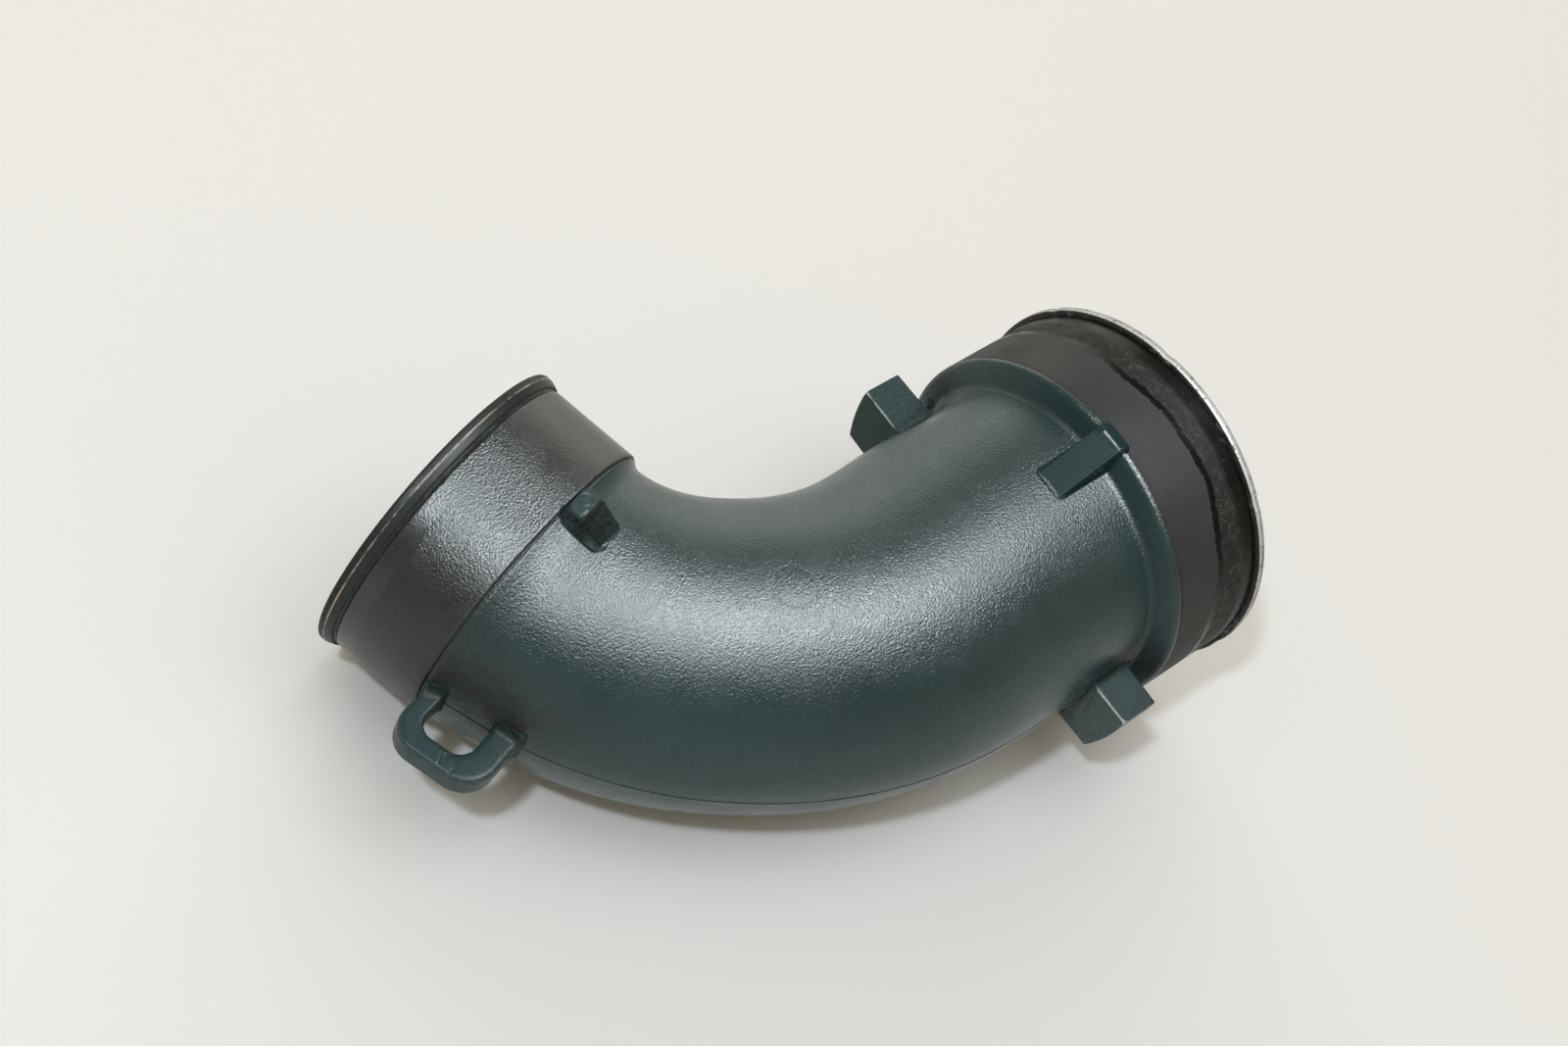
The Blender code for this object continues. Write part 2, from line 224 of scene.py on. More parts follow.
# %% [markdown]
# ## The duct's outside
# One profile gives the outside radius all the way along: the small spigot, the bend that first
# flares down from the small shoulder and then grows, the filleted step, and the large spigot. The
# bend's own growth is a cubic through four radii. Tubes could be modelled one by one and joined
# with Booleans, but with one profile the lugs can ask how high the surface is under them.

# %% Soft shapes used everywhere
def soft(x, low, high):
    """0 below low, 1 above high, and a smooth S between them."""
    t = np.clip((x - low) / (high - low), 0, 1)
    return t * t * (3 - 2 * t)


def bell(x, width):
    """1 at 0 and falling on both sides: e to the minus (x / width) squared."""
    return np.exp(-(x / width) ** 2)


def fading(x, length):
    """1 up to 0 and then e to the minus x / length."""
    return np.exp(-np.clip(x, 0, None) / length)


def angle_from(angle, middle):
    """Signed angle from the middle, between minus pi and pi."""
    return (angle - middle + np.pi) % (2 * np.pi) - np.pi


def resampled(track, count):
    """A polyline's points at even steps along its length."""
    run = np.concatenate([[0], np.cumsum(np.linalg.norm(np.diff(track, axis=0), axis=1))])
    even = np.linspace(0, run[-1], count)
    return np.stack([np.interp(even, run, track[:, i]) for i in (0, 1)], -1)


def eased(corners, count, width):
    """A polyline through the corners, resampled and then averaged over a window, so that each
    corner becomes a soft curve."""
    track = resampled(corners, count)
    before, after = 2 * track[0] - track[width:0:-1], 2 * track[-1] - track[-2:-width - 2:-1]
    padded = np.concatenate([before, track, after])
    window = np.ones(2 * width + 1) / (2 * width + 1)
    return np.stack([np.convolve(padded[:, i], window, "valid") for i in (0, 1)], -1)


print("a bell one width from its middle is", round(float(bell(1.0, 1.0)), 2))

# %% Radius along the duct
SMALL_R, LARGE_R = mm(38.0, 46.0)
growth = np.polyfit(np.linspace(0, LENGTH, 4), mm(36.2, 36.3, 38.2, 39.7), 3)
FOOT_R = np.polyval(growth, LENGTH)


def bend_radius(s):
    """Cubic growth, plus a flare that falls with the square of the distance to the shoulder,
    minus a small V where the paint line creases at the shoulder."""
    flare = 1.7 * MM * np.clip(1 - s / (7 * MM), 0, 1) ** 2
    crease = 0.55 * MM * np.clip(1 - s / (0.7 * MM), 0, 1)
    return np.polyval(growth, s) + flare - crease


step_s = LENGTH + mm(-4.0, -0.9, -0.1, 1.7, 2.3, 3.2)
climbed = FOOT_R + (LARGE_R - FOOT_R) * np.array((0.10, 0.88, 1.0, 1.0))
STEP = eased(np.stack([step_s, np.append(bend_radius(step_s[:2]), climbed)], -1), 60, 3)
body_s = np.linspace(0, STEP[0, 0], 400)[:-1]
profile_s = np.concatenate([[-30 * MM, -0.01 * MM], body_s, STEP[:, 0], [LENGTH + 40 * MM]])
profile_r = np.concatenate([[SMALL_R, SMALL_R], bend_radius(body_s), STEP[:, 1], [LARGE_R]])


def outside_radius(s):
    """Radius read from the profile at distances s."""
    return np.interp(s, profile_s, profile_r)


past_step = outside_radius(LENGTH + 4 * MM)
print(f"radius at the shoulder {outside_radius(0.0) / MM:.2f}, past the step {past_step / MM:.2f} mm")


# %% Height over the duct
def nearest(points):
    """Distance along the centre line that is square to each point: start from its place along
    an end's direction and correct, twelve times, by most of the miss along the travel."""
    from_foot = points[..., 0] - FOOT[0]
    s = np.where(from_foot > -40 * MM, LENGTH + from_foot, (points - SHOULDER) @ SMALL_TRAVEL)
    for _ in range(12):
        centre, travel, _ = station(s)
        s = s + 0.7 * np.einsum("...i,...i->...", points - centre, travel)
    return s


def height_over(points):
    """How far points stand off the duct's outside: distance from the centre line minus radius."""
    s = nearest(points)
    return np.linalg.norm(points - station(s)[0], axis=-1) - outside_radius(s)


over_shoulder = height_over((SHOULDER + 50 * MM * UP)[None])[0]
print(f"50 mm above the shoulder's middle is {over_shoulder / MM:.2f} mm off the duct")

# %% [markdown]
# ## Bend and step
# The bend and the step are one painted surface, so they are one skin. Its section is a closed
# loop: the outside, the end face at the large spigot, the bore and back. The grid is closer
# where small forms need it: the seam that the two die halves left along both sides, and the
# round print of an ejector pin on the crown. A bump map could draw these, but it would vanish at
# the outline, so they are real geometry, tenths of a millimetre high.

# %% Grid lines of the bend
PIN_S, PIN_R = mm(54.9, 4.9)


def close_lines(low, high, step, place, reach, fine_step):
    """Grid lines at an even step, and closer ones within reach of a place."""
    lines = np.arange(low, high, step)
    lines = lines[np.abs(lines - place) > reach]
    close = np.arange(place - reach, place + reach, fine_step)
    return np.unique(np.round(np.concatenate([lines, close]), 9))


shoulder_s = np.linspace(0, 2 * MM, 9)[:-1]
middle_s = close_lines(2 * MM, STEP[0, 0], 1.0 * MM, PIN_S, 6.5 * MM, 0.42 * MM)
outer_s = np.concatenate([shoulder_s, middle_s, STEP[:, 0]])
outer_r = np.concatenate([bend_radius(outer_s[:-len(STEP)]), STEP[:, 1]])
angles = close_lines(0, 2 * np.pi, np.radians(1.25), np.pi / 2, 0.16, 0.0105)
seam_lines = np.concatenate([np.pi + np.linspace(-0.04, 0.04, 17), np.linspace(-0.03, 0.09, 25)])
angles = np.unique(np.round(np.concatenate([angles, seam_lines]), 6) % (2 * np.pi))
print("bend grid:", len(outer_s), "lines along,", len(angles), "round")


# %% Small forms of the casting
SEAM_RIDGE, SEAM_GROOVE = mm(0.10, 0.16)


def cast_forms(s, angle, radius):
    """Height of the small forms, and the seam's groove as a share: a low swell of two sines, a
    ridge with a groove above it at each seam, and a worn ring where a pin pressed the crown. The
    outer seam climbs a little towards the large end."""
    swell = 0.05 * MM * np.sin(s / (9 * MM) + 2 * angle) * np.sin(3 * angle - s / (14 * MM))
    climb = 1.7 * MM * soft(s, 60 * MM, LENGTH) + 0.25 * MM * np.sin(s / (11 * MM))
    seam = 0.0
    for across in (angle_from(angle, 0) * radius - climb, (angle - np.pi) * radius):
        seam = seam + SEAM_RIDGE * bell(across + 0.35 * MM, 0.4 * MM)
        seam = seam - SEAM_GROOVE * bell(across - 0.2 * MM, 0.22 * MM)
    seam = seam * soft(LENGTH - 3 * MM - s, 0, 4 * MM)
    ahead, aside = s - PIN_S, angle - np.pi / 2
    from_pin = np.hypot(ahead, aside * radius)
    worn = 0.55 + 0.45 * np.sin(2.2 * np.arctan2(aside, ahead / MM) + 0.8)
    ring = -0.075 * MM * worn * bell(from_pin - PIN_R, 0.4 * MM) - 0.03 * MM * (from_pin < PIN_R)
    return swell + seam + ring, np.clip(-seam / SEAM_GROOVE, 0, 1)


def foot_bowl(s, angle):
    """Depth of the shallow bowl round the foot of each stop: a bell along and round the duct that
    dies out before the step. The one on the inner side is deeper."""
    before_step = LENGTH - s
    along = bell(before_step - 8.5 * MM, 12 * MM) * soft(before_step, 0.5 * MM, 4 * MM)
    outer = 0.7 * MM * bell(angle_from(angle, 0.16), 0.16)
    inner = 2.4 * MM * bell(angle - np.pi + 0.27, 0.26)
    return along * (outer + inner)


forms, seam_groove = cast_forms(outer_s[:, None], angles[None, :], outer_r[:, None])
bowls = foot_bowl(outer_s[:, None], angles[None, :])
print(f"small forms up to {np.abs(forms).max() / MM:.2f} mm, bowls up to {bowls.max() / MM:.2f} mm")

# %% Points of the bend
SMALL_BORE, LARGE_BORE = mm(32.5, 41.5)


def carried(s, radius, angles, raise_by=0.0):
    """Points of a profile carried round the line: centre + radius * (cos * outward + sin * up)."""
    centre, _, outward = station(s)
    ring = np.cos(angles)[None, :, None] * outward[:, None, :] + np.sin(angles)[None, :, None] * UP
    return centre[:, None, :] + (radius[:, None] + raise_by)[..., None] * ring


bore_s = np.concatenate([[outer_s[-1]], np.linspace(LENGTH + 1 * MM, 0, 40)])
bore_r = np.interp(bore_s, (0, LENGTH, LENGTH + 3 * MM), (SMALL_BORE, 36.0 * MM, LARGE_BORE))
bend_outside = carried(outer_s, outer_r, angles, forms - bowls)
bend_grid = np.concatenate([bend_outside, carried(bore_s, bore_r, angles)])
print("bend points reach from", np.round(bend_grid.min((0, 1)) / MM, 1).tolist(), "mm",
      "to", np.round(bend_grid.max((0, 1)) / MM, 1).tolist(), "mm")

# %% [markdown]
# ## Marks on the bend
# Dirt gathers in the roots of the lugs and along the creases, and by the inner stop it also
# stands in as painted shade in the valley round the stop's foot. The belly is dusty and lightened
# by a painted reflection of the table, the step's corner is rubbed bare with a painted highlight
# along it, and the outer side is smoother. An image could be painted for this.
# Numbers stored at the points need no image, and they stay at the right places when the shape
# changes. Each patch of dirt is a bell along the duct times a bell round it.

# %% Bend skin
along = np.concatenate([outer_s, bore_s])[:, None]
around = (angles[None, :] + np.pi / 2) % (2 * np.pi) - np.pi / 2
off_step = along - LENGTH
is_bore = np.arange(len(along))[:, None] >= len(outer_s)

dirt = 0.8 * fading(along, 1.6 * MM) + 0.35 * bell(off_step + 0.4 * MM, 1.1 * MM)
dirt = dirt + np.concatenate([seam_groove, np.zeros((len(bore_s), len(angles)))])
at_loop = (8.0 * MM, 11.0 * MM, 0.26, 0.24, 1.4)
at_wedge = (6.0 * MM, 5.0 * MM, 1.42, 0.10, 0.45)
at_outer_stop = (LENGTH - 4.0 * MM, 9.0 * MM, 0.12, 0.13, 1.2)
# the patch by the inner stop is dirt and also painted shade that darkens the valley round its foot
at_inner_stop_dirt_and_shade = (LENGTH - 6.0 * MM, 9.0 * MM, np.pi - 0.20, 0.15, 1.3)
for middle, width, turn, spread, amount in (at_loop, at_wedge, at_outer_stop, at_inner_stop_dirt_and_shade):
    dirt = dirt + amount * bell(along - middle, width) * bell(around - turn, spread)
# the step's corner is rubbed bare and also carries a painted highlight along its edge
step_corner_wear_and_highlight = bell(off_step - 2.3 * MM, 0.8 * MM) * ~is_bore
bend_marks = {"rubbed": step_corner_wear_and_highlight * (0.30 + 0.25 * np.sin(5 * around + 1.3) * np.sin(2 * around - 0.4)),
              "dirt": np.clip(dirt, 0, 1),
              "inside": is_bore,
              # the belly's dust is partly real dust and partly a painted reflection of the pale table
              "dust": 1.2 * soft(0.2 - around, 0.0, 0.8) * (1 - 0.6 * soft(-around, 0.6, 1.2)),
              "smooth": bell(around + 0.1, 0.45)}
bend = make_skin("bend_shell", bend_grid, grid_faces(*bend_grid.shape[:2], True),
                 ("bend_upper", "bend_lower", "large_step"), bend_marks)

# %% [markdown]
# ## The small spigot and its bead
# The ends were turned on a lathe after casting, so each is a profile spun round its axis: a plain
# spigot, then a bead that keeps the hose from slipping off. A Screw modifier would spin it too,
# but here the same carrying function as for the bend serves. Spigot and bead are two closed
# rings, because they have two finishes: charcoal, and a worn brown edge on the bead.

# %% Turned rings
round_angles = np.linspace(0, 2 * np.pi, 257)[:-1]


def turned_ring(name, s, radius, node, marks, wobble=0.0):
    """A closed (distance, radius) profile spun round the line's straight end."""
    ring = carried(s, radius, round_angles, wobble)
    values = marks(s[:, None], round_angles[None, :], radius[:, None])
    return make_skin(name, ring, grid_faces(*ring.shape[:2], True), (node,), values)


def closed_profile(outer, bore, steps=8):
    """Outside points given as (distance, radius) rows, then the bore back at even steps."""
    back = np.linspace(outer[-1, 0], outer[0, 0], steps)
    return np.concatenate([outer[:, 0], back]), np.concatenate([outer[:, 1], np.full(steps, bore)])


print("rings have", len(round_angles), "columns")


# %% Small spigot
def small_marks(s, angle, radius):
    """Dirt in the crease at the shoulder, in a smear over the loop and in the bead's groove; a
    band next to the groove is polished by the hose, apart from the part past the crown."""
    back = -s
    angle = angle_from(angle, 0)
    wavy = 0.5 * MM * np.sin(3 * angle + 0.6) + 0.3 * MM * np.sin(7 * angle)
    smear = 1.2 * bell(angle - 0.36, 0.30) * bell(back, 7 * MM)
    groove = 1.2 * soft(back, 22.9 * MM, 23.4 * MM)
    polished = soft(back - 0.4 * wavy, 18.2 * MM, 18.8 * MM) * (1 - soft(back, 22.8 * MM, 23.2 * MM))
    polished = polished * (1 - soft(angle, 0.8, 1.2))
    return {"dirt": np.clip(0.7 * fading(back, 1.0 * MM) + smear + groove, 0, 1), "rubbed": 0.0,
            "inside": radius < SMALL_BORE + 0.5 * MM, "dust": 0.16 * polished, "smooth": polished}


edge = mm((0, 37.35), (-0.12, 37.75), (-0.3, 37.95), (-0.55, 38.0))
plain_s = np.concatenate([np.linspace(-1, -22, 43), np.linspace(-22.2, -25, 15)]) * MM
plain_r = SMALL_R - 0.45 * MM * bell(plain_s + 23.55 * MM, 0.38 * MM)
spigot_s, spigot_r = closed_profile(np.concatenate([edge, np.stack([plain_s, plain_r], -1)]), SMALL_BORE)
small_spigot = turned_ring("small_hose_spigot", spigot_s, spigot_r, "small_spigot", small_marks)


# %% Small bead
def small_bead_marks(s, angle, radius):
    """Paint is rubbed off the edge in patches; the groove and the front are dirty."""
    back = -s
    rubbed_edge = bell(back - 26.05 * MM, 0.26 * MM) * (radius > SMALL_R)
    patchy = 0.85 + 0.15 * np.sin(4 * angle + 1) * np.sin(9 * angle)
    groove = 0.95 * fading(back - 23.9 * MM, 0.35 * MM)
    front = 0.8 * soft(back, 26.3 * MM, 26.8 * MM)
    return {"dirt": np.maximum(groove, front), "rubbed": np.clip(rubbed_edge * patchy, 0, 1),
            "inside": radius < SMALL_BORE + 0.5 * MM}


bead_corners = mm((-25.0, 36.5), (-24.2, 37.9), (-23.9, 38.15), (-24.2, 38.5), (-25.8, 39.1), (-26.2, 39.2),
                  (-27.5, 39.2), (-27.85, 38.9), (-28.0, 38.3), (-28.0, 37.1), (-28.0, 36.0))
bead_s, bead_r = closed_profile(eased(bead_corners, 48, 1), SMALL_BORE)
small_bead = turned_ring("small_hose_bead", bead_s, bead_r, "small_bead", small_bead_marks)

# %% [markdown]
# ## The large spigot and its rim
# The large end is turned in the same way: a plain spigot and a flat-topped rim. Where the old
# hose ended, a wavy black line is left all round. Its distance from the step was read at ten
# angles. It could be painted on an image, but stored as a distance at the points, the finish can
# fray it as finely as it likes. The rim has a few nicks, each a bell pressed into its edge.

# %% Large spigot
HOSE_LINE = np.array(((-20, 15.5), (19, 15.7), (30, 16.7), (53, 18.3), (68, 20.1),
                      (83, 19.7), (104, 18.5), (131, 19.0), (180, 18.6), (270, 17.5)))
OUTER_FACE, BORE_FACE = mm(44.0, 42.0)


def large_marks(s, angle, radius):
    """Grime: a wavy black line left by the hose's end, a speckled dark band from it to the rim,
    glossy soot next to the rim, and a thin dark crease at the step. The line is stored as a
    distance, half at the line and one at 4 mm past it, so that the finish can fray it."""
    past = s - LENGTH
    wave = np.interp(np.degrees(angle), *HOSE_LINE.T, period=360)
    away = past / MM - (wave + 0.25 * np.sin(13 * angle) + 0.15 * np.sin(29 * angle + 1))
    outside = radius > OUTER_FACE
    return {"line": np.clip(0.5 + away / 8, 0, 1) * outside,
            "band": soft(away, 0, 1.5) * outside,
            "soot": soft(past, 24.0 * MM, 26.8 * MM) * outside,
            "dirt": 0.8 * fading(past - 3.1 * MM, 0.6 * MM) * outside,
            "inside": radius < BORE_FACE}


plain_s = LENGTH + np.linspace(3.2, 30.0, 68) * MM
large_s, large_r = closed_profile(np.stack([plain_s, np.full(len(plain_s), LARGE_R)], -1), LARGE_BORE)
large_spigot = turned_ring("large_hose_spigot", large_s, large_r, "large_spigot", large_marks)


# %% Large rim
def rim_marks(s, angle, radius):
    """Old rubber on the face towards the hose, and a worn corner in front of it."""
    past = s - LENGTH
    worn_corner = bell(past - 30.45 * MM, 0.22 * MM) * (radius > 47 * MM)
    return {"dirt": past < 30.12 * MM, "rubbed": worn_corner, "inside": radius < BORE_FACE}


rim_corners = mm((30.0, 46.0), (30.0, 46.6), (30.02, 47.0), (30.1, 47.2), (30.25, 47.36), (30.5, 47.4),
                 (31.0, 47.4), (31.4, 47.4), (31.75, 47.36), (32.0, 47.22), (32.15, 46.95), (32.2, 46.6),
                 (32.2, 45.6), (32.2, 44.4), (32.2, 43.2), (32.2, 42.1), (32.1, 41.7))
rim_s, rim_r = closed_profile(rim_corners + (LENGTH, 0.0), LARGE_BORE)
nicks = np.zeros((len(rim_s), len(round_angles)))
for place, width, depth in ((1.80, 0.035, 0.5), (-0.17, 0.05, 0.35), (0.9, 0.02, 0.25),
                            (2.6, 0.03, 0.3), (4.1, 0.04, 0.3), (5.2, 0.02, 0.4)):
    on_edge = (rim_r > 46.7 * MM)[:, None]
    nicks -= depth * MM * bell(angle_from(round_angles, place), width)[None, :] * on_edge
large_rim = turned_ring("large_bare_rim", rim_s, rim_r, "large_bead", rim_marks, nicks)

# %% [markdown]
# ## Pads and stops that stand on the duct
# A pad is a lump with a rounded top edge, slightly leaning walls and a soft fillet into the duct.
# A bevelled box joined by a Boolean would leave a hard line at its foot. So a pad is drawn as
# rings that follow its outline: each ring is the outline moved in or out by a distance, at a
# height mixed from the pad's own top and the duct's surface under that point. The last rings dip
# under the duct's skin, so no gap shows.

# %% Pad outline and rings
def pad_outline(box, corner, count=14):
    """A rounded rectangle and its outward normals: quarter circles joined by straight runs."""
    p0, p1, q0, q1 = box
    quarter = np.linspace(0, np.pi / 2, count) + np.arange(4)[:, None] * np.pi / 2
    normal = np.stack([np.cos(quarter), np.sin(quarter)], -1)
    corners = np.array(((p1, q1), (p0, q1), (p0, q0), (p1, q0)))
    inwards = np.array(((-1, -1), (1, -1), (1, 1), (-1, 1)))
    arcs = (corners + corner * inwards)[:, None] + corner * normal
    last, following = arcs[:, -1:], np.roll(arcs[:, :1], -1, axis=0)
    runs = last + np.linspace(0, 1, count + 2)[1:-1, None] * (following - last)
    run_normal = np.repeat(normal[:, -1:], count, axis=1)
    edges = np.concatenate([arcs, runs], axis=1), np.concatenate([normal, run_normal], axis=1)
    return [edge.reshape(-1, 2) for edge in edges]


def pad_rings(edge, fillet):
    """From the middle of the top outwards: the flat top, the rounded edge, the wall, the fillet
    onto the duct, and under its skin. A ring has a share of the outline's size, a distance out, a
    share of the wall's lean, a share of the top in its height, and a height added to that."""
    quarter = np.linspace(0, np.pi / 2, 7)
    flat = [(share, -edge, 0.0, 1.0, 0.0) for share in np.linspace(0.05, 0.97, 24)]
    over = [(1.0, -edge * (1 - np.sin(t)), 0.0, 1.0, -edge * (1 - np.cos(t))) for t in quarter]
    wall = [(1.0, 0.0, t, 1 - t, -edge * (1 - t) + fillet * t) for t in np.linspace(0, 1, 9)[1:-1]]
    foot = [(1.0, fillet * (1 - np.cos(t)), 1.0, 0.0, fillet * (1 - np.sin(t))) for t in quarter]
    under = [(1.0, fillet + 0.3 * MM, 1.0, 0.0, -0.35 * MM), (0.6, 0.0, 0.0, 0.0, -1.0 * MM)]
    return np.array(flat + over + wall + foot + under).T


print("a pad has", pad_rings(0.3 * MM, 1.0 * MM).shape[1], "rings")


# %% Pad builder
def raise_pad(name, node, box, rounding, top, base, seat, lean, marks):
    """The pad's rings, closed by a point in the top and one in the duct's wall. The wall leans out
    by lean[0] all round, and by lean[1] more on the side where q is largest. Where the pad is
    low, the heights of its edge and fillet are squeezed."""
    corner, edge, fillet = rounding
    origin, axes = seat
    outline, normal = pad_outline(box, corner)
    leaning = lean[0] + lean[1] * np.clip(normal[:, 1], 0, 1)
    middle = np.array(((box[0] + box[1]) / 2, (box[2] + box[3]) / 2))
    share, out, tilt, mix, off = pad_rings(edge, fillet)
    moved = (out[:, None] + tilt[:, None] * leaning)[..., None] * normal
    rings = middle + share[:, None, None] * (outline + moved - middle)
    p, q = np.concatenate([rings.reshape(-1, 2), [middle, middle]]).T
    mix = np.append(np.repeat(mix, len(outline)), (1, 0))
    off = np.append(np.repeat(off, len(outline)), (0, -1.2 * MM))
    high, low = top(p, q), base(p, q)
    squeeze = np.clip((high - low) / (edge + fillet), 0.15, 1)
    off = np.where(off > -0.3 * MM, off * squeeze, off)
    level = mix * high + (1 - mix) * low + off
    points = origin + np.stack([p, q, level], -1) @ np.stack(axes)
    size = len(share), len(outline)
    values = marks(p, q, level, high, low)
    return make_skin(name, points, grid_faces(*size, False), (node,), values, end_fans(*size))


def crown_base(seat):
    """Height of the duct's surface over a level plane: at each place the radius there, less what
    the roundness takes away."""
    origin, (ahead, across, _) = seat

    def base(p, q):
        spot = origin + p[:, None] * ahead + q[:, None] * across
        s = nearest(spot)
        centre, _, outward = station(s)
        aside = np.einsum("ij,ij->i", spot - centre, outward)
        return np.sqrt(np.maximum(outside_radius(s) ** 2 - aside ** 2, 0))
    return base


small_seat = SHOULDER, (SMALL_TRAVEL, SMALL_OUT, UP)
large_seat = FOOT, (LARGE_TRAVEL, LARGE_OUT, UP)
crown = crown_base(small_seat)(np.array([10 * MM]), np.zeros(1))[0]
print(f"10 mm past the shoulder the crown is {crown / MM:.1f} mm above the middle")

# %% [markdown]
# ## Wedge and ramp on the crown
# By the small shoulder stands a wedge: a level top with a pin's round print, then a slope down
# into the bend. Over the step a narrow ramp climbs to a ridge. Both are level pads, so p runs
# along the end's axis, q across it, and the top is a height above the axis for each (p, q).

# %% Wedge pad
def wedge_top(p, q):
    """Level for 4.2 mm with the round print of a pin, then a straight slope down into the bend."""
    slope = np.interp(p, mm(0, 4.2, 4.9, 11.8), mm(40.4, 40.4, 40.1, 35.9))
    from_pin = np.hypot(p - 2.6 * MM, q + 2.6 * MM)
    return slope - 0.16 * MM * bell(from_pin - 1.55 * MM, 0.26 * MM)


def wedge_marks(p, q, level, high, low):
    """The ridge is rubbed, the slope and walls are darkened with painted shade, and the level top is
    lightened with painted light.
    """
    on_top = bell(high - level, 0.45 * MM)
    ridge = bell(p - 4.5 * MM, 0.5 * MM) * bell(q + 0.4 * MM, 1.6 * MM) * on_top
    root = fading(level - low, 0.7 * MM)
    steep_shade = np.maximum(soft(p, 4.6 * MM, 5.6 * MM), soft(high - level, 0.5 * MM, 1.2 * MM))
    # painted shade on the slope and walls, and painted light on the level top
    return {"rubbed": 0.75 * ridge, "dirt": 1.2 * steep_shade * (1 - 0.8 * root), "inside": 0.0,
            "dust": 0.4 * (1 - steep_shade)}


wedge = raise_pad("wedge_pad", "wedge_lug", mm(0.6, 11.6, -5.9, 1.4), mm(1.8, 0.45, 0.6), wedge_top,
                  crown_base(small_seat), small_seat, mm(0.3, 1.7), wedge_marks)


# %% Ramp on top of the step
def ramp_top(p, q):
    """A straight climb out of the bend to a ridge above the step, then a nose that rounds down."""
    return np.interp(p, mm(-15.5, 0.0, 0.4, 2.6, 3.6, 4.2), mm(39.0, 48.1, 48.2, 48.1, 47.6, 46.9))


def ramp_marks(p, q, level, high, low):
    """The ridge is rubbed on its outer side, and dirt lies along the root."""
    on_top = bell(high - level, 0.6 * MM)
    ridge = bell(p - 0.2 * MM, 0.45 * MM) * on_top * soft(q, -3.6 * MM, -1.5 * MM)
    root = fading(level - low, 0.6 * MM)
    return {"rubbed": np.clip(ridge, 0, 1), "dirt": 0.5 * root * (p > -12 * MM), "inside": 0.0}


ramp = raise_pad("top_ramp", "top_block", mm(-15.5, 4.2, -4.0, 4.0), mm(1.2, 0.4, 0.45), ramp_top,
                 crown_base(large_seat), large_seat, mm(0.3, 0.0), ramp_marks)

# %% [markdown]
# ## Stops at both sides of the step
# Two blocks stand on the duct's sides just before the step, and their tops are rounded to one
# radius about the end's axis. The same builder is used on its side: p runs along the axis, q runs
# up, and heights are measured outwards. Each foot lies in the shallow bowl of the bend's skin.

# %% Stops
def side_base(sign):
    """How far out the duct's side is at a place along and a height: start from the round section
    there, correct for the bend's drift off the end's axis, and take off the bowl."""
    def base(p, q):
        s = LENGTH + p
        out = sign * np.sqrt(outside_radius(s) ** 2 - q ** 2)
        for _ in range(4):
            spot = FOOT + p[:, None] * LARGE_TRAVEL + out[:, None] * LARGE_OUT + q[:, None] * UP
            s = nearest(spot)
            centre, _, outward = station(s)
            aside = np.einsum("ij,ij->i", spot - centre, outward)
            out = out + sign * np.sqrt(outside_radius(s) ** 2 - q ** 2) - aside
        return sign * out - foot_bowl(s, np.arctan2(q, out) % (2 * np.pi))
    return base


def stop_marks(box, fillet, front_dust_and_light, top_dust_and_light):
    """Paint is rubbed off along the edge between the top and the front, and thinly at the tip. The front
    and the top are lightened with dust and painted light.
    """
    def marks(p, q, level, high, low):
        from_front, from_top = p - box[0], q - box[3]
        front_edge = bell(np.hypot(from_front, from_top), 0.42 * MM)
        tip = 0.55 * bell(high - level, 0.35 * MM)
        tip_edge = tip * (bell(from_top, 0.5 * MM) + bell(from_front, 0.5 * MM))
        root = fading(level - low, 0.7 * fillet)
        # dust and painted light on the front and on the top, away from the root
        dust = np.where(p < box[0] + 0.3 * MM, front_dust_and_light, top_dust_and_light)
        return {"rubbed": np.clip(front_edge + tip_edge, 0, 1) * (1 - root), "dirt": 0.9 * root,
                "inside": 0.0, "dust": dust * (1 - root)}
    return marks


def stop_block(name, node, sign, reach, fillet, dusts_and_light, box):
    """A pad on the outer (1) or inner (-1) side whose top lies at the reach from the axis."""
    seat = FOOT, (LARGE_TRAVEL, UP, sign * LARGE_OUT)
    return raise_pad(name, node, box, (0.45 * MM, 0.3 * MM, fillet),
                     lambda p, q: np.sqrt(reach ** 2 - q ** 2), side_base(sign), seat,
                     mm(0.25, 0.0), stop_marks(box, fillet, *dusts_and_light))


outer_stop = stop_block("outer_stop", "outer_block", 1.0, 51.2 * MM, 1.5 * MM, (1.7, 0.3),
                        mm(-13.6, -2.4, -18.2, 1.1))
inner_stop = stop_block("inner_stop", "inner_block", -1.0, 52.3 * MM, 2.4 * MM, (0.4, 0.6),
                        mm(-12.9, -1.8, -16.4, 1.2))

# %% [markdown]
# ## The hanging loop
# The loop is an arch of rounded bar standing on the die seam. A curve with a bevel would have the
# same section all along, but the bar is wider at the far arm. So instead of one path there are
# two, the arch's outside and the edge of its hole, and the section stretches from one to the
# other. Near the duct the section swells by a quarter circle, which makes the fillet at each root.

